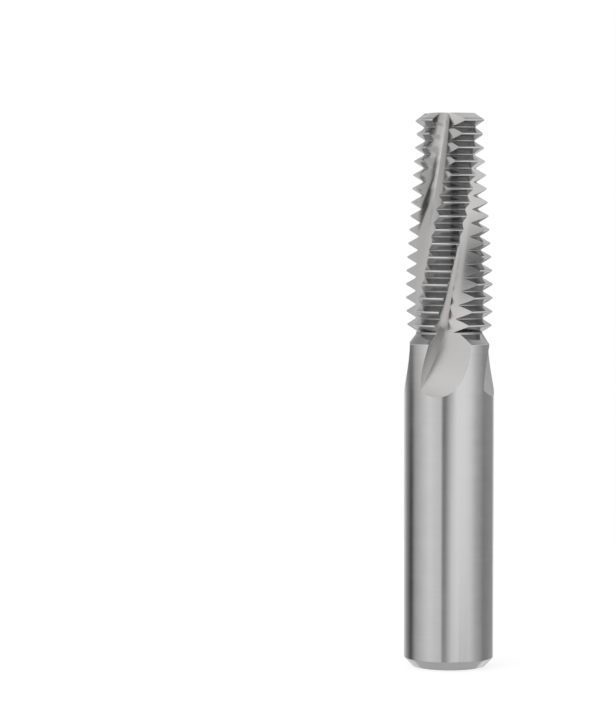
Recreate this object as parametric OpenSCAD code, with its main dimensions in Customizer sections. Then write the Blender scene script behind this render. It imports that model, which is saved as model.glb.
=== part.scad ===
// Thread mill with a tapered head, ground from one solid bar of cemented carbide.
// It stands on its shank end: the origin is the middle of that end face, +Z runs
// to the cutting tip and -Y is the front. Lengths are in millimetres, angles in degrees.
// It cuts turning clockwise as seen from the shank end, so each edge moves anticlockwise seen from the tip.

/* [Shank] */
// Diameter of the plain shank that the holder grips
shank_d = 12; // [11:0.5:16]
// Overall length from the shank end to the tip
overall_l = 74; // [64:1:100]
// Width and height of the 45 degree chamfer round the shank end
end_chamfer = 1.2; // [0.4:0.1:2]

/* [Thread rings] */
// Distance from one ring to the next (14 to the inch)
thread_pitch = 1.814; // [1.6:0.001:2]
// Number of rings along the head
ring_count = 16; // [8:1:18]
// Included angle of a ring's two flanks
thread_angle = 60; // [55:1:65]
// Width of the flat on a ring's crest
crest_flat = 0.18; // [0.1:0.01:0.3]
// Width of the flat at the root between two rings
root_flat = 0.13; // [0.05:0.01:0.25]
// Crest diameter of the last ring, at the thick end of the head
head_d = 11.9; // [10.6:0.05:12]
// Length over which the head loses one millimetre of diameter
taper_length = 16; // [12:1:40]
// Angle at which the rings fall away behind the cutting edge of the last ring
relief_angle = 8; // [3:0.5:10]

/* [Tip and neck] */
// Diameter of the flat face at the tip
tip_face_d = 6.9; // [6:0.1:8]
// Height of the bevel from the first ring up to the tip face
tip_bevel_h = 0.9; // [0.5:0.1:1.5]
// Plain stretch at root diameter below the last ring
neck_l = 0.3; // [0:0.1:2]
// Slope of the neck cone out to the shank, from the axis
neck_angle = 45; // [30:1:60]

/* [Flutes] */
// Number of flutes
flute_count = 4; // [3:1:4]
// Helix angle of the cutting edges at the thick end of the head
helix_angle = 17.5; // [5:0.5:25]
// Depth from the ring crests to the deepest line of a flute, where its wall meets its floor
flute_depth = 2.6; // [1.6:0.1:2.8]
// Angle at which the flat floor rises from that line to the heel of the next land
floor_rise = 6; // [0:0.5:10]
// How far the curved rake wall reaches forward before it meets the floor
rake_reach = 0.75; // [0.5:0.05:1.5]
// Radius on which the grinding wheel lifts out where a flute runs out into the shank
runout_r = 16; // [10:0.5:30]
// Angle between the wheel's straight run-out and the axis
runout_angle = 18.5; // [10:0.5:25]
// Direction of the first cutting edge at the last ring, turning from +X to +Y
edge_direction = -110.5; // [-180:0.5:180]

/* [Hidden] */

// Facets of the revolved body as drawn
$fn = 96;
// Distance that the cutters stand clear of the metal they cut
cut_clear = 1;
// Metal that the blank of the head has over the ring crests
blank_allowance = 0.2;
// Segments in the curved rake wall of a flute
rake_steps = 6;
// Cross-sections in a flute's run-out
runout_steps = 10;

shank_r = shank_d/2;

// Ring form: symmetrical flanks between a crest flat and a root flat
ring_depth = (thread_pitch - crest_flat - root_flat)/(2*tan(thread_angle/2));
root_offset = (thread_pitch - root_flat)/2;
first_crest_z = overall_l - tip_bevel_h - crest_flat/2;
last_crest_z = first_crest_z - (ring_count - 1)*thread_pitch;
last_root_z = last_crest_z - root_offset;

// Radius to the crests and to the roots at a height on the tapered head
function crest_r(z) = head_d/2 - (z - last_crest_z)/(2*taper_length);
function root_r(z) = crest_r(z) - ring_depth;

// Neck below the last ring
neck_r = root_r(last_root_z);
neck_z = last_root_z - neck_l;
shoulder_z = neck_z - (shank_r - neck_r)/tan(neck_angle);

// Flute form: the rake wall is an arc, square to the crest circle at the cutting edge
rake_r = (flute_depth^2 + rake_reach^2)/(2*rake_reach);
rake_sweep = asin(flute_depth/rake_r);
cutter_reach = shank_r + 2*cut_clear;
floor_lift = (cutter_reach - rake_reach)*tan(floor_rise);
flute_spacing = 360/flute_count;

// Each flute turns with the helix up the head. It is at full depth from the lower flank of the last ring,
// and its cross-sections lie half a pitch apart, in the middle of the rings' flanks.
turn_per_length = tan(helix_angle)*360/(PI*head_d);
helix_step_l = thread_pitch/2;
flute_end_z = last_crest_z - thread_pitch/4;
helix_steps = floor((overall_l - flute_end_z)/helix_step_l) + 2;

// Below full depth the wheel goes straight on and lifts until its floor is clear of the shank
end_edge_r = crest_r(flute_end_z);
runout_lift = shank_r + cut_clear - (end_edge_r - flute_depth);
runout_sweep = acos(1 - runout_lift/runout_r);

// Half of the blank's lengthwise section, from the axis out: the head is still a plain cone
blank_profile = [
    [0, 0],
    [shank_r - end_chamfer, 0],
    [shank_r, end_chamfer],
    [shank_r, shoulder_z],
    [neck_r, neck_z],
    if (neck_l > 0) [neck_r, last_root_z],
    [crest_r(last_root_z) + blank_allowance, last_root_z],
    [crest_r(overall_l) + blank_allowance, overall_l],
    [0, overall_l]
];

// The rings of one land are turned about an axis set off ahead of its edge, so they fall away behind it.
// This gives the radius from that axis of a circle which meets the edge at radius r from the tool's axis.
relief_offset = tan(relief_angle)*head_d/2;
function relieved(r) = sqrt(r^2 + relief_offset^2);

// Each ring's cutter also covers most of the root flats beside it, so that neighbours overlap
root_overlap = 3*root_flat/4;
// The first ring's cutter carries the tip bevel on above the tip
bevel_overrun = tip_bevel_h/2;
bevel_slope = (relieved(crest_r(first_crest_z)) - relieved(tip_face_d/2))/tip_bevel_h;

// Lengthwise section of the space that is cut away round one ring, about the relief axis
function ring_cutter_profile(crest_z, is_first) =
    let (
        low_z = crest_z - root_offset,
        high_z = crest_z + root_offset,
        top_z = is_first ? overall_l + bevel_overrun : high_z + root_overlap
    ) [
        [cutter_reach, low_z - root_overlap],
        [relieved(root_r(low_z)), low_z - root_overlap],
        [relieved(root_r(low_z)), low_z],
        [relieved(crest_r(crest_z)), crest_z - crest_flat/2],
        [relieved(crest_r(crest_z)), crest_z + crest_flat/2],
        if (is_first) [relieved(tip_face_d/2) - bevel_overrun*bevel_slope, top_z],
        if (!is_first) [relieved(root_r(high_z)), high_z],
        if (!is_first) [relieved(root_r(high_z)), top_z],
        [cutter_reach, top_z]
    ];

// Cross-section of a flute cutter: x points out through the cutting edge, y the way the edge moves.
// It comes in along the edge, down the rake wall and out along the flat floor.
function flute_section(edge_r) = [
    [edge_r + cutter_reach, 0],
    for (i = [0:rake_steps])
        let (a = rake_sweep*i/rake_steps)
        [edge_r - rake_r*sin(a), rake_r*(1 - cos(a))],
    [edge_r - flute_depth + floor_lift, cutter_reach],
    [edge_r + cutter_reach, cutter_reach]
];

// A cross-section turned about the axis, flat at a height on the head
function helix_section(z) =
    let (turn = (z - flute_end_z)*turn_per_length)
    [for (p = flute_section(crest_r(z))) [p.x*cos(turn) - p.y*sin(turn), p.x*sin(turn) + p.y*cos(turn), z]];

// A cross-section square to the wheel's path, at an angle round the arc on which the wheel lifts
function runout_section(arc_angle) =
    let (
        path = runout_r*sin(arc_angle),
        lift = runout_r*(1 - cos(arc_angle))
    ) [
        for (p = flute_section(end_edge_r + lift))
            let (across = p.y*cos(runout_angle)) [
                p.x,
                across*cos(runout_angle) - path*sin(runout_angle),
                flute_end_z - across*sin(runout_angle) - path*cos(runout_angle)
            ]
    ];

// Cross-sections of one cutter, from the end of the run-out to above the tip
cutter_sections = [
    for (i = [runout_steps:-1:1]) runout_section(runout_sweep*i/runout_steps),
    for (i = [0:helix_steps]) helix_section(flute_end_z + i*helix_step_l)
];

// A closed solid through a stack of cross-sections that have the same number of points
module loft(sections) {
    n = len(sections[0]);
    top = len(sections) - 1;
    points = [for (section = sections) each section];
    sides = [
        for (k = [0:top - 1], j = [0:n - 1])
            let (
                low = k*n + j,
                low_next = k*n + (j + 1)%n
            )
            each [[low, low_next, low_next + n], [low, low_next + n, low + n]]
    ];
    bottom_cap = [for (j = [n - 1:-1:0]) j];
    top_cap = [for (j = [0:n - 1]) top*n + j];
    polyhedron(points, concat(sides, [bottom_cap, top_cap]), convexity = 6);
}

module flute_cutter() {
    loft(cutter_sections);
}

// Cuts one ring's form on the land behind one edge. It begins and ends in the open flutes on either side.
flute_middle = acos(1 - flute_depth/end_edge_r)/2;
module ring_cutter(crest_z, is_first) {
    rotate((crest_z - flute_end_z)*turn_per_length)
    translate([0, relief_offset, 0])
    rotate(flute_middle - flute_spacing)
    rotate_extrude(angle = flute_spacing) polygon(ring_cutter_profile(crest_z, is_first));
}

module thread_mill() {
    color("silver")
    difference() {
        difference() {
            rotate_extrude() polygon(blank_profile);
            for (i = [0:flute_count - 1])
                rotate(edge_direction + i*flute_spacing) flute_cutter();
        }
        for (i = [0:flute_count - 1], ring = [0:ring_count - 1])
            rotate(edge_direction + i*flute_spacing)
            ring_cutter(first_crest_z - ring*thread_pitch, ring == 0);
    }
}

thread_mill();
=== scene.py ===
# A thread mill ground from one bar of cemented carbide, standing on its shank end on a pale studio floor.
# Sizes of the tool are in millimetres, as in the solid. Times MM they are in metres, as the scene is.
import math

import bmesh
import bpy
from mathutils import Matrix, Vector


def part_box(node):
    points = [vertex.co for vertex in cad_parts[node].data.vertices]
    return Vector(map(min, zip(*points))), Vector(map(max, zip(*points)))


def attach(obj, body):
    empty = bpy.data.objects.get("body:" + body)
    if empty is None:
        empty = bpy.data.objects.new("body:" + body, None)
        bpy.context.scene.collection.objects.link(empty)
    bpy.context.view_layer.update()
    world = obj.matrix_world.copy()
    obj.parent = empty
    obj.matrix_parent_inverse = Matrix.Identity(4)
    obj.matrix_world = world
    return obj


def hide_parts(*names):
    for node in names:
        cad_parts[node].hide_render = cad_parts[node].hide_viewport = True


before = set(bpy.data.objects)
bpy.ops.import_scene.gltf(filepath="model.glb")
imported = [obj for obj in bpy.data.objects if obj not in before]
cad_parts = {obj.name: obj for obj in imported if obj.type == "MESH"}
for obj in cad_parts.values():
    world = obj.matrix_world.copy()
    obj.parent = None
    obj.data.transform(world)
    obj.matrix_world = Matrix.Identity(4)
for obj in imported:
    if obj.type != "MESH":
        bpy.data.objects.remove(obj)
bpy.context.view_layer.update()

MM = 0.001

# Sizes of the tool: the first two come from the frame, the rest repeat the solid's
low_corner, high_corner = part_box("thread_mill")
overall_l = (high_corner.z - low_corner.z) / MM
shank_r = (high_corner.x - low_corner.x) / 2 / MM
end_chamfer = 1.2
thread_pitch = 1.814
ring_count = 16
thread_angle = math.radians(60)
crest_flat = 0.18
root_flat = 0.13
head_d = 11.9
taper_length = 16
relief_angle = math.radians(8)
tip_face_d = 6.9
tip_bevel_h = 0.9
neck_l = 0.3
neck_angle = math.radians(45)
flute_count = 4
helix_angle = math.radians(17.5)
flute_depth = 2.6
floor_rise = math.radians(6)
rake_reach = 0.75
runout_r = 16
runout_angle = math.radians(18.5)
edge_direction = math.radians(-110.5)

# Rounding that grinding leaves on the edges: how far it reaches to each side of a corner
ring_rounding = 0.03
crest_rounding = 0.07
chamfer_rounding = 0.06
# How far the cut round a ring reaches into the root flat beside it
root_overlap = 3 * root_flat / 4
# Height that the ledge below the last ring takes up
ledge_slope_h = 0.01

# How finely the mesh follows the tool: points across a flute and a land, and steps along the outline
wall_columns = 8
floor_columns = 10
land_columns = 20
corner_steps = 3
flank_steps = 4
neck_cone_steps = 12
neck_wall_steps = 2
runout_levels = 44
shank_step_l = 3
# How near to the top of the shank's wall a point of the outline is kept beside the levels of the run-outs
level_tolerance = chamfer_rounding / 10
# How far inside the shank's radius a point still counts as on its wall
wall_tolerance = 0.002
# Points this close together become one, and faces that meet at a greater angle than this keep a sharp edge
merge_distance = 0.0001
sharp_angle = math.radians(28)
# Steps of each search along a flute, and how long a step is beside the one before
search_steps = 60
search_shrink = 0.8

# Places along the tool that follow from the sizes
ring_depth = (thread_pitch - crest_flat - root_flat) / (2 * math.tan(thread_angle / 2))
root_offset = (thread_pitch - root_flat) / 2
first_crest_z = overall_l - tip_bevel_h - crest_flat / 2
last_crest_z = first_crest_z - (ring_count - 1) * thread_pitch
last_root_z = last_crest_z - root_offset
ledge_z = last_root_z - root_overlap


def crest_r(z):
    """Radius to the ring crests at a height on the tapered head."""
    return head_d / 2 - (z - last_crest_z) / (2 * taper_length)


def root_r(z):
    """Radius to the roots between the rings at a height on the tapered head."""
    return crest_r(z) - ring_depth


neck_r = root_r(last_root_z)
neck_z = last_root_z - neck_l
shoulder_z = neck_z - (shank_r - neck_r) / math.tan(neck_angle)

rake_r = (flute_depth**2 + rake_reach**2) / (2 * rake_reach)
rake_sweep = math.asin(flute_depth / rake_r)
turn_per_length = math.tan(helix_angle) * 2 / head_d
flute_end_z = last_crest_z - thread_pitch / 4
end_edge_r = crest_r(flute_end_z)
flute_spacing = 2 * math.pi / flute_count
relief_offset = math.tan(relief_angle) * head_d / 2


def spread(start, end, steps):
    """Evenly spaced values from start to end."""
    return [start + (end - start) * i / steps for i in range(steps + 1)]


def ring_corners(crest_z, is_first):
    """One ring's corners from its lower root to its upper one: radius, height, rounding, steps after it."""
    low_root = crest_z - root_offset
    high_root = crest_z + root_offset
    corners = [
        (root_r(low_root), low_root, ring_rounding, flank_steps),
        (crest_r(crest_z), crest_z - crest_flat / 2, crest_rounding, 1),
        (crest_r(crest_z), crest_z + crest_flat / 2, crest_rounding, flank_steps),
    ]
    if not is_first:
        corners.append((root_r(high_root), high_root, ring_rounding, 1))
    return corners


def shank_corners():
    """Corners of the outline from the shank end to the neck: radius, height, rounding, steps after it."""
    shank_steps = math.ceil(shoulder_z / shank_step_l)
    return [
        (shank_r - end_chamfer, 0, chamfer_rounding, flank_steps),
        (shank_r, end_chamfer, chamfer_rounding, shank_steps),
        (shank_r, shoulder_z, chamfer_rounding, neck_cone_steps),
        (neck_r, neck_z, ring_rounding, neck_wall_steps),
        (neck_r, ledge_z, 0, 0),
    ]


def head_corners():
    """Corners of the relieved head's outline at a cutting edge, from a ledge in the neck to the tip."""
    corners = [(neck_r, ledge_z + ledge_slope_h, 0, 1)]
    for i in reversed(range(ring_count)):
        corners += ring_corners(first_crest_z - i * thread_pitch, i == 0)
    corners.append((tip_face_d / 2, overall_l, ring_rounding, 0))
    return corners


def rounded_outline(corners):
    """Points (radius, height) along the outline, with its corners rounded and its sides in their steps."""
    places = [Vector(corner[:2]) for corner in corners]
    before = Vector((0, places[0].y))
    after = Vector((0, places[-1].y))
    outline = []
    for i, (_, _, rounding, steps) in enumerate(corners):
        here = places[i]
        back = (places[i - 1] if i else before) - here
        ahead = (places[i + 1] if i + 1 < len(places) else after) - here
        start = here + back.normalized() * rounding
        end = here + ahead.normalized() * rounding
        for t in spread(0, 1, corner_steps) if rounding else [0]:
            outline.append(start * (1 - t) ** 2 + here * 2 * t * (1 - t) + end * t**2)
        if i + 1 < len(places):
            next_start = places[i + 1] - ahead.normalized() * corners[i + 1][2]
            outline += [end.lerp(next_start, k / steps) for k in range(1, steps)]
    return [(point.x, point.y) for point in outline]


# Places along a flute's cross-section: out beyond its edge, at the edge, where its wall meets its floor,
# and on the floor's line beyond the heel
BEYOND_EDGE, EDGE, VALLEY, BEYOND_HEEL = -1, 0, 1, 2


def flute_curve(t, z):
    """A place on a flute's cross-section at a height: how far out towards its edge and forward it lies.
    It comes straight in to the edge, follows the curved wall to the valley, and then the flat floor."""
    if t < EDGE:
        inward = t * shank_r
        across = 0
    elif t < VALLEY:
        inward = rake_r * math.sin(t * rake_sweep)
        across = rake_r * (1 - math.cos(t * rake_sweep))
    else:
        across = rake_reach + (t - VALLEY) * 2 * shank_r
        inward = flute_depth - (across - rake_reach) * math.tan(floor_rise)
    if z >= flute_end_z:
        return crest_r(z) - inward, across
    path = (flute_end_z - z) / math.cos(runout_angle) - across * math.sin(runout_angle)
    lift = runout_r - math.sqrt(runout_r**2 - path**2) if path > 0 else 0
    forward = across * math.cos(runout_angle) ** 2 - path * math.sin(runout_angle)
    return end_edge_r + lift - inward, forward


def deepest(z):
    """Where a flute's surface is nearest to the axis at a height, and how near."""
    step = 1 / search_steps
    tries = [BEYOND_EDGE + i * step for i in range((BEYOND_HEEL - BEYOND_EDGE) * search_steps + 1)]
    best = min(tries, key=lambda t: math.hypot(*flute_curve(t, z)))
    for _ in range(search_steps):
        step *= search_shrink
        best = min((best - step, best, best + step), key=lambda t: math.hypot(*flute_curve(t, z)))
    return best, math.hypot(*flute_curve(best, z))


def crossing(inside, outside, z, centre, radius):
    """Where a flute's surface passes out through a circle, between a place inside it and one outside."""
    for _ in range(search_steps):
        middle = (inside + outside) / 2
        if math.dist(flute_curve(middle, z), centre) < radius:
            inside = middle
        else:
            outside = middle
    return inside


def runout_bottom():
    """Height at which a flute has risen out of the shank."""
    cut = shoulder_z
    whole = shoulder_z - runout_r / 2
    for _ in range(search_steps):
        middle = (cut + whole) / 2
        if deepest(middle)[1] < shank_r:
            cut = middle
        else:
            whole = middle
    return cut


runout_z = runout_bottom()
runout_turn = math.atan2(*reversed(flute_curve(deepest(runout_z)[0], runout_z)))


def turned(place, angle):
    """A place turned about the axis."""
    out, forward = place
    return (
        out * math.cos(angle) - forward * math.sin(angle),
        out * math.sin(angle) + forward * math.cos(angle),
    )


def flute_loop(radius, z, relief):
    """One flute's points at a height, outward and forward of the axis: first its wall, then its floor.
    The wall starts at the land behind its own edge, and the floor ends at the land behind the next edge."""
    if z > runout_z:
        lowest, depth = deepest(z)
        if depth < radius:
            land_r = math.hypot(radius, relief)
            edge = crossing(lowest, BEYOND_EDGE, z, (0, relief), land_r)
            heel = crossing(lowest, BEYOND_HEEL, z, turned((0, relief), flute_spacing), land_r)
            valley = min(max(edge, VALLEY), heel)
            places = spread(edge, valley, wall_columns) + spread(valley, heel, floor_columns)[1:]
            return [flute_curve(t, z) for t in places]
    whole = turned((radius, 0), runout_turn)
    return [whole] * (wall_columns + floor_columns + 1)


def land_points(heel, next_edge, radius, relief):
    """Points of the land between a flute's heel and the next edge, on a circle set off by the relief."""
    centre = turned((0, relief), flute_spacing)
    land_r = math.hypot(radius, relief)
    first = math.atan2(heel[1] - centre[1], heel[0] - centre[0])
    last = math.atan2(next_edge[1] - centre[1], next_edge[0] - centre[0])
    angles = spread(first, last, land_columns)[1:-1]
    return [(centre[0] + land_r * math.cos(a), centre[1] + land_r * math.sin(a)) for a in angles]


def body_loop(radius, z, relief):
    """Points all round the tool at a height: for each flute its wall, its floor and the land next to it."""
    flute = flute_loop(radius, z, relief)
    land = land_points(flute[-1], turned(flute[0], flute_spacing), radius, relief)
    helix_turn = max(z - flute_end_z, 0) * turn_per_length
    points = []
    for k in range(flute_count):
        turn = edge_direction + k * flute_spacing + helix_turn
        points += [Vector((*turned(place, turn), z)) * MM for place in flute + land]
    return points


def levels():
    """Radius, height and relief of each loop, with closer ones towards the bottom of the run-outs."""
    outline = rounded_outline(shank_corners())
    runout_top = shoulder_z - chamfer_rounding
    extra = [runout_z + (runout_top - runout_z) * (i / runout_levels) ** 2 for i in range(runout_levels)]
    kept = [point for point in outline if not runout_z <= point[1] < runout_top - level_tolerance]
    plain = sorted(kept + [(shank_r, z) for z in extra], key=lambda point: point[1])
    relieved = rounded_outline(head_corners())
    return [(*point, 0) for point in plain] + [(*point, relief_offset) for point in relieved]


# The tool's metals, in the order of its material slots; the rings' flanks and roots are the same carbide
# painted darker as painted shade, the crests painted lighter as a painted highlight
PLAIN, SHADED_RINGS, LIT_CRESTS, FLUTES = 0, 1, 2, 3


def land_surface(low, high):
    """The metal between two points of the outline: plain on shank and tip bevel, a crest's with a painted
    highlight, or a flank's with painted shade.
    """
    if high[1] <= shoulder_z + chamfer_rounding or low[1] >= first_crest_z + crest_flat:
        return PLAIN
    on_crest = min(low[0] - crest_r(low[1]), high[0] - crest_r(high[1])) > -crest_rounding
    return LIT_CRESTS if on_crest else SHADED_RINGS


def shank_normals(mesh):
    """For each face corner on the shank's wall the direction out from the axis, and zero for the rest."""
    normals = [Vector((0, 0, 0))] * len(mesh.loops)
    for face in mesh.polygons:
        corners = [mesh.vertices[v].co for v in face.vertices]
        if all(math.hypot(corner.x, corner.y) > (shank_r - wall_tolerance) * MM for corner in corners):
            for loop, corner in zip(face.loop_indices, corners):
                normals[loop] = Vector((corner.x, corner.y, 0)).normalized()
    return normals


def tool_mesh():
    """The tool's mesh: loops all round it joined by four-sided faces, with a flat face at each end."""
    outline = levels()
    bm = bmesh.new()
    loops = [[bm.verts.new(point) for point in body_loop(*place)] for place in outline]
    columns = len(loops[0])
    per_flute = columns // flute_count
    for i in range(len(loops) - 1):
        lower = loops[i]
        upper = loops[i + 1]
        for j in range(columns):
            following = (j + 1) % columns
            face = bm.faces.new((lower[j], lower[following], upper[following], upper[j]))
            in_flute = j % per_flute < wall_columns + floor_columns
            if in_flute and outline[i][1] >= runout_z:
                face.material_index = FLUTES
            else:
                face.material_index = land_surface(outline[i], outline[i + 1])
    bm.faces.new(list(reversed(loops[0]))).material_index = PLAIN
    bm.faces.new(loops[-1]).material_index = PLAIN
    bmesh.ops.remove_doubles(bm, verts=bm.verts[:], dist=merge_distance * MM)
    bmesh.ops.dissolve_degenerate(bm, dist=merge_distance * MM, edges=bm.edges[:])
    bmesh.ops.recalc_face_normals(bm, faces=bm.faces[:])
    mesh = bpy.data.meshes.new("thread_mill_ground")
    bm.to_mesh(mesh)
    bm.free()
    mesh.shade_smooth()
    mesh.set_sharp_from_angle(angle=sharp_angle)
    mesh.normals_split_custom_set(shank_normals(mesh))
    return mesh


def add_node(tree, kind, settings=None, **inputs):
    """A shader node with its settings and inputs: an input is a value, or another node's output to link.
    Inputs go by their names, with underscores for spaces, or by the letter i and their number."""
    node = tree.nodes.new(kind)
    for name, value in (settings or {}).items():
        setattr(node, name, value)
    for name, value in inputs.items():
        socket = node.inputs[int(name[1:])] if name[1:].isdigit() else node.inputs[name.replace("_", " ")]
        if isinstance(value, bpy.types.NodeSocket):
            tree.links.new(value, socket)
        else:
            socket.default_value = value
    return node


def math_node(tree, operation, first, second):
    """The result of an operation on two values or outputs."""
    return add_node(tree, "ShaderNodeMath", {"operation": operation}, i0=first, i1=second).outputs[0]


def grade(tree, value, low, high, to_low, to_high):
    """A value moved from one range to another, held at the ends."""
    node = add_node(tree, "ShaderNodeMapRange", None, Value=value, i1=low, i2=high, i3=to_low, i4=to_high)
    return node.outputs[0]


def mixed_colour(tree, share, first, second):
    """A colour between two colours or outputs."""
    return add_node(tree, "ShaderNodeMix", {"data_type": "RGBA"}, i0=share, i6=first, i7=second).outputs[2]


def noise(tree, place, **inputs):
    """A value that varies softly and unevenly from place to place."""
    return add_node(tree, "ShaderNodeTexNoise", None, Vector=place, **inputs).outputs[0]


def shade_of(colour, factor):
    """A colour made darker or lighter."""
    return tuple(min(channel * factor, 1) for channel in colour) + (1,)


def blank_material(name):
    """A material without nodes."""
    material = bpy.data.materials.new(name)
    material.use_nodes = True
    material.node_tree.nodes.clear()
    return material


def link_output(tree, shader, kind="ShaderNodeOutputMaterial"):
    """Link a shader to the output of its material or world."""
    output = add_node(tree, kind)
    tree.links.new(shader.outputs[0], output.inputs["Surface"])


# Grinding lines: how many there are in a metre, or in a radian across a flute
round_line_scale = (40, 40, 5200)
flute_line_scale = (16, 0, 60)
line_detail = 4
line_roughness = 0.6
# How strongly the lines show as bumps, and how high they are in millimetres
line_strength = 0.15
line_height = 0.004
# How far the stretched highlights are turned from the direction round the axis, in whole turns
highlight_turn = 0.25
# Clouds in the finish: how many there are in a metre
cloud_scale = 420
cloud_detail = 3
# Lines and clouds added up: over which range they change the shade and the roughness, and by how much
shade_range = (0.75, 1.25)
shade_change = (0.97, 1.03)
rough_range = (0.7, 1.3)
rough_change = (0.9, 1.12)
# Edges, which get a painted highlight: their width in millimetres, the cosine of the turn where one begins
# and where it is full, and the share of the roughness that rubbing leaves
edge_width = 0.05
edge_samples = 6
edge_cosines = (0.99, 0.85)
edge_smoothing = 0.75
# Corners, which get painted shade: how far from one it reaches, in millimetres, and how much darker it is
corner_reach = 0.3
corner_samples = 8
corner_painted_shade = 0.75
# How open a place is where it begins to count as standing out or as a corner, and where it counts fully
edge_openness = (0.5, 0.75)
corner_openness = (0.7, 0.4)
# The run-outs are ground rougher than the flutes: how much, and between which heights that sets in
runout_matt = 2.6
runout_matt_top = flute_end_z + thread_pitch / 2
runout_matt_bottom = flute_end_z - thread_pitch / 2
# Across the run-out a flute turns as far as the wheel moves sideways at the flute's floor
runout_turn_per_length = math.tan(runout_angle) / (end_edge_r - flute_depth)
# The angle's jump from a full turn back to none is put on a land, this share of the way to the next edge
seam_share = 0.78
seam_turn = math.pi - edge_direction - seam_share * flute_spacing + flute_end_z * turn_per_length


def along_flute(tree, place):
    """Place across and along a flute: the angle round the axis less the flute's turn, and the height."""
    height = add_node(tree, "ShaderNodeSeparateXYZ", None, Vector=place).outputs["Z"]
    below = math_node(tree, "MINIMUM", math_node(tree, "SUBTRACT", height, flute_end_z * MM), 0.0)
    helix = math_node(tree, "MULTIPLY", height, -turn_per_length / MM)
    runout = math_node(tree, "MULTIPLY", below, (turn_per_length - runout_turn_per_length) / MM)
    unturn = math_node(tree, "ADD", math_node(tree, "ADD", helix, runout), seam_turn)
    straight = add_node(
        tree, "ShaderNodeVectorRotate", {"rotation_type": "Z_AXIS"}, Vector=place, Angle=unturn
    ).outputs[0]
    sides = add_node(tree, "ShaderNodeSeparateXYZ", None, Vector=straight).outputs
    angle = math_node(tree, "ARCTAN2", sides["Y"], sides["X"])
    return add_node(tree, "ShaderNodeCombineXYZ", None, X=angle, Z=height).outputs[0]


def ground_carbide(name, colour, roughness, anisotropy, edge_painted_highlight, follows_flute=False):
    """Ground metal: wheel lines round the axis or along a flute, painted highlights on edges, painted shade
    in corners.
    """
    material = blank_material(name)
    tree = material.node_tree
    place = add_node(tree, "ShaderNodeTexCoord").outputs["Object"]
    line_place = along_flute(tree, place) if follows_flute else place
    line_scale = flute_line_scale if follows_flute else round_line_scale
    stretched = add_node(tree, "ShaderNodeMapping", None, Vector=line_place, Scale=line_scale).outputs[0]
    lines = noise(tree, stretched, Scale=1, Detail=line_detail, Roughness=line_roughness)
    clouds = noise(tree, place, Scale=cloud_scale, Detail=cloud_detail)
    uneven = math_node(tree, "ADD", lines, clouds)

    # Edges that stand out get a painted highlight, a lighter colour, and are rubbed smoother; corners get
    # painted shade
    rounded = add_node(
        tree, "ShaderNodeBevel", {"samples": edge_samples}, Radius=edge_width * MM
    ).outputs[0]
    flat = add_node(tree, "ShaderNodeNewGeometry").outputs["Normal"]
    facing = add_node(
        tree, "ShaderNodeVectorMath", {"operation": "DOT_PRODUCT"}, i0=rounded, i1=flat
    ).outputs["Value"]
    openness = add_node(
        tree,
        "ShaderNodeAmbientOcclusion",
        {"samples": corner_samples, "only_local": True},
        Distance=corner_reach * MM,
    ).outputs["AO"]
    standing_out = grade(tree, openness, *edge_openness, 0, 1)
    edge = math_node(tree, "MULTIPLY", grade(tree, facing, *edge_cosines, 0, 1), standing_out)
    in_corner = grade(tree, openness, *corner_openness, 0, 1)

    darker, lighter = [shade_of(colour, change) for change in shade_change]
    ground = mixed_colour(tree, grade(tree, uneven, *shade_range, 0, 1), darker, lighter)
    # Painted shade: places in a corner are given a darker colour
    corner_shaded = mixed_colour(tree, in_corner, ground, shade_of(colour, corner_painted_shade))
    # Painted highlight: edges that stand out are given a lighter colour
    base = mixed_colour(tree, edge, corner_shaded, shade_of(colour, edge_painted_highlight))
    smoother, rougher = [roughness * change for change in rough_change]
    rough = grade(tree, uneven, *rough_range, smoother, rougher)
    rough = math_node(tree, "MULTIPLY", rough, grade(tree, edge, 0, 1, 1, edge_smoothing))
    if follows_flute:
        height = add_node(tree, "ShaderNodeSeparateXYZ", None, Vector=place).outputs["Z"]
        matter = grade(tree, height, runout_matt_top * MM, runout_matt_bottom * MM, 1, runout_matt)
        rough = math_node(tree, "MULTIPLY", rough, matter)
    bump = add_node(
        tree, "ShaderNodeBump", None, Height=lines, Strength=line_strength, Distance=line_height * MM
    ).outputs[0]
    around = add_node(tree, "ShaderNodeTangent", {"direction_type": "RADIAL", "axis": "Z"}).outputs[0]
    shader = add_node(
        tree,
        "ShaderNodeBsdfPrincipled",
        None,
        Base_Color=base,
        Metallic=1.0,
        Roughness=rough,
        Anisotropic=anisotropy,
        Anisotropic_Rotation=highlight_turn,
        Normal=bump,
        Tangent=around,
    )
    link_output(tree, shader)
    return material


tool = bpy.data.objects.new("thread_mill_ground", tool_mesh())
bpy.context.scene.collection.objects.link(tool)
# The rings' metal is painted darker as painted shade, and the crests' metal lighter as a painted highlight
metals = {
    PLAIN: ground_carbide(
        "ground_plain", (0.68, 0.68, 0.68), roughness=0.15, anisotropy=0.5, edge_painted_highlight=1.1
    ),
    SHADED_RINGS: ground_carbide(
        "ground_rings_painted_shade", (0.47, 0.47, 0.47), roughness=0.12, anisotropy=0.3, edge_painted_highlight=1.3
    ),
    LIT_CRESTS: ground_carbide(
        "ground_crests_painted_highlight", (0.8, 0.8, 0.8), roughness=0.16, anisotropy=0.3, edge_painted_highlight=1.05
    ),
    FLUTES: ground_carbide(
        "ground_flutes",
        (0.69, 0.68, 0.675),
        roughness=0.13,
        anisotropy=0.0,
        edge_painted_highlight=1.12,
        follows_flute=True,
    ),
}
for slot in sorted(metals):
    tool.data.materials.append(metals[slot])
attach(tool, "root")
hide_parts("thread_mill")

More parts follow.
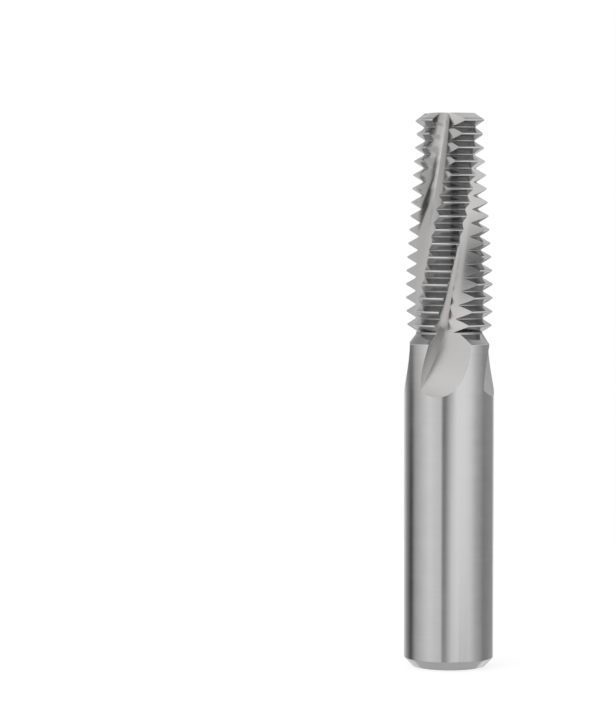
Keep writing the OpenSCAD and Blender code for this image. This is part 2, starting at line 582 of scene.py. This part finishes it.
# Camera: it stands in front of the tool, a little below its tip, and shows the tool right of the middle
camera_place = Vector((0, -402, 62)) * MM
camera_aim = Vector((-18.9, 0, 40.5)) * MM
view_height = 97.6 * MM
clip_near = 0.01
clip_far = 20
camera_data = bpy.data.cameras.new("camera")
camera_data.sensor_width = 36
camera_data.lens = camera_data.sensor_width * (camera_aim - camera_place).length / view_height
camera_data.clip_start = clip_near
camera_data.clip_end = clip_far
camera = bpy.data.objects.new("camera", camera_data)
camera.location = camera_place
camera.rotation_mode = "QUATERNION"
camera.rotation_quaternion = (camera_aim - camera_place).to_track_quat("-Z", "Y")
bpy.context.scene.collection.objects.link(camera)
bpy.context.scene.camera = camera

# Studio: a pale round floor in the middle of a wide round tent that reaches below it. The tent's wall has
# rows of panels, one above another. In each row the panels are bright or dark by their direction from the
# tool, in degrees from the camera towards the right of the picture, so that the metal shows bands.
floor_r = 0.15
tent_r = 3
tent_segments = 180
floor_colour = 0.85
floor_glow = 0.64
lid_light = 0.3
base_light = 0.5
world_light = 0.5
# Panels behind the tool, the same in each of the low rows
back_left = [
    (-180, 0.6),
    (-160, 0.75),
    (-140, 0.75),
    (-122, 0.25),
    (-108, 0.3),
    (-85, 0.55),
]
back_right = [
    (85, 0.5),
    (105, 0.25),
    (122, 0.35),
    (140, 0.8),
    (165, 0.85),
    (168, 0.35),
    (174, 0.35),
    (180, 0.6),
]
# What the flats of the teeth mirror
lowest_panels = back_left + [(-60, 0.6), (60, 0.6)] + back_right
# What the rake walls mirror: a dark slat, which leans to the right, gives them their fine dark line
low_slat = [(-60, 0.65), (0, 0.55), (8, 0.55), (10, 0.03), (31, 0.03), (33, 0.45)]
low_panels = back_left + low_slat + back_right
leaning_slat = [(-60, 0.65), (0, 0.55), (25, 0.55), (27, 0.03), (48, 0.03), (50, 0.45)]
slat_panels = back_left + leaning_slat + back_right
# What the shank mirrors
shank_panels = [
    (-180, 0.8),
    (-155, 0.7),
    (-138, 0.35),
    (-116, 0.06),
    (-108, 0.1),
    (-97, 0.4),
    (-50, 0.86),
    (-19, 0.72),
    (-17, 0.25),
    (-10, 0.25),
    (8, 0.92),
    (25, 1),
    (42, 0.95),
    (57, 0.8),
    (75, 0.48),
    (100, 0.26),
    (152, 0.36),
    (160, 0.9),
    (167, 0.9),
    (169, 0.3),
    (174, 0.3),
    (180, 0.8),
]
# What the rings mirror
ring_panels = [
    (-180, 0.4),
    (-100, 0.6),
    (-60, 0.9),
    (-18, 0.6),
    (-12, 0.04),
    (9, 0.02),
    (13, 0.3),
    (17, 0.8),
    (36, 0.95),
    (60, 0.95),
    (100, 0.5),
    (180, 0.4),
]
# What the flute floors mirror, low down and near their heels, where a dark gap shows
floor_panels = [
    (-180, 0.6),
    (-75, 0.6),
    (-60, 0.85),
    (-20, 0.7),
    (20, 0.72),
    (45, 0.85),
    (80, 0.8),
    (145, 0.46),
    (165, 0.72),
    (180, 0.6),
]
high_panels = [
    (-180, 0.6),
    (-75, 0.6),
    (-60, 0.85),
    (-40, 0.82),
    (-6, 0.2),
    (4, 0.2),
    (20, 0.45),
    (45, 0.82),
    (80, 0.8),
    (145, 0.46),
    (165, 0.72),
    (180, 0.6),
]
# What the ends of the run-outs, the neck and the tip bevel mirror
highest_panels = [
    (-180, 0.62),
    (-130, 0.42),
    (-60, 0.95),
    (-30, 0.95),
    (-8, 0.15),
    (10, 0.15),
    (80, 0.3),
    (145, 0.75),
    (180, 0.62),
]
# The bottom and the top of the tent's wall, and each row with its top, as degrees above the camera's level
wall_bottom = -40
wall_top = 60
tent_rows = [
    ("tent_lowest", -24, lowest_panels),
    ("tent_low", -15, low_panels),
    ("tent_slat", -11.2, slat_panels),
    ("tent_shank", -2.4, shank_panels),
    ("tent_rings", 8.2, ring_panels),
    ("tent_floors", 14, floor_panels),
    ("tent_high", 28, high_panels),
    ("tent_highest", wall_top, highest_panels),
]


def tent_height(elevation):
    """Height on the tent's wall of an elevation in degrees above the camera's level."""
    return camera_place.z + tent_r * math.tan(math.radians(elevation))


def stage_piece(name, bm):
    """A stage object made from a finished bmesh."""
    mesh = bpy.data.meshes.new(name)
    bm.to_mesh(mesh)
    bm.free()
    piece = bpy.data.objects.new(name, mesh)
    bpy.context.scene.collection.objects.link(piece)
    return piece


def disc(name, radius, z):
    """A flat round stage piece."""
    bm = bmesh.new()
    bmesh.ops.create_circle(bm, cap_ends=True, segments=tent_segments, radius=radius)
    bmesh.ops.translate(bm, verts=bm.verts[:], vec=(0, 0, z))
    return stage_piece(name, bm)


def tent_row(name, bottom, top):
    """One row of the tent's round wall, open at the top and the bottom."""
    bm = bmesh.new()
    turns = spread(0, 2 * math.pi, tent_segments)[:-1]
    rims = []
    for z in (bottom, top):
        rims.append([bm.verts.new((tent_r * math.cos(a), tent_r * math.sin(a), z)) for a in turns])
    for j in range(tent_segments):
        following = (j + 1) % tent_segments
        bm.faces.new((rims[0][j], rims[1][j], rims[1][following], rims[0][following]))
    return stage_piece(name, bm)


def seen_directly(tree):
    """One for rays from the camera, and for those mirrored by metal or let through, zero for the rest."""
    path = add_node(tree, "ShaderNodeLightPath").outputs
    mirrored = math_node(tree, "MAXIMUM", path["Is Glossy Ray"], path["Is Transmission Ray"])
    return math_node(tree, "MAXIMUM", path["Is Camera Ray"], mirrored)


def panel_levels(tree, panels):
    """The level of a row's panels by direction round the tool, blended from one to the next."""
    place = add_node(tree, "ShaderNodeTexCoord").outputs["Object"]
    sides = add_node(tree, "ShaderNodeSeparateXYZ", None, Vector=place).outputs
    angle = math_node(tree, "ARCTAN2", sides["X"], math_node(tree, "MULTIPLY", sides["Y"], -1))
    share = grade(tree, angle, -math.pi, math.pi, 0, 1)
    ramp = add_node(tree, "ShaderNodeValToRGB", None, Fac=share)
    stops = ramp.color_ramp.elements
    while len(stops) < len(panels):
        stops.new(1)
    for stop, (direction, level) in zip(stops, panels):
        stop.position = (direction + 180) / 360
        stop.color = (level, level, level, 1)
    return ramp.outputs[0]


def emitter(name, strength, panels=None):
    """A sheet that gives light, the same all over or by the panels' directions."""
    material = blank_material(name)
    tree = material.node_tree
    colour = panel_levels(tree, panels) if panels else (1, 1, 1, 1)
    light = add_node(tree, "ShaderNodeEmission", None, Color=colour, Strength=strength)
    link_output(tree, light)
    return material


def pale_floor():
    """Pale matt floor that glows where it is seen, so that it shows white round the soft shadow."""
    material = blank_material("pale_floor")
    tree = material.node_tree
    matt_colour = (floor_colour, floor_colour, floor_colour, 1)
    matt = add_node(tree, "ShaderNodeBsdfDiffuse", None, Color=matt_colour)
    level = math_node(tree, "MULTIPLY", seen_directly(tree), floor_glow)
    glow = add_node(tree, "ShaderNodeEmission", None, Strength=level)
    both = add_node(tree, "ShaderNodeAddShader", None, i0=matt.outputs[0], i1=glow.outputs[0])
    link_output(tree, both)
    return material


floor = disc("floor", floor_r, 0)
floor.data.materials.append(pale_floor())
# The metal mirrors the tent below the floor, so its bands run down to its foot
floor.visible_glossy = False
tent_base = disc("tent_base", tent_r, tent_height(wall_bottom))
tent_base.data.materials.append(emitter("tent_base_light", base_light))
tent_lid = disc("tent_lid", tent_r, tent_height(wall_top))
tent_lid.data.materials.append(emitter("tent_lid_light", lid_light))
tent = [tent_base, tent_lid]
row_bottom = wall_bottom
for name, row_top, panels in tent_rows:
    row = tent_row(name, tent_height(row_bottom), tent_height(row_top))
    row.data.materials.append(emitter(name + "_light", 1, panels))
    tent.append(row)
    row_bottom = row_top
# The camera sees the white backdrop through the tent
for sheet in tent:
    sheet.visible_camera = False

world = bpy.data.worlds.new("studio")
bpy.context.scene.world = world
world.use_nodes = True
world.node_tree.nodes.clear()
world_level = grade(world.node_tree, seen_directly(world.node_tree), 0, 1, world_light, 1)
backdrop = add_node(world.node_tree, "ShaderNodeBackground", None, Color=(1, 1, 1, 1), Strength=world_level)
link_output(world.node_tree, backdrop, "ShaderNodeOutputWorld")

bpy.context.scene.view_settings.view_transform = "Standard"
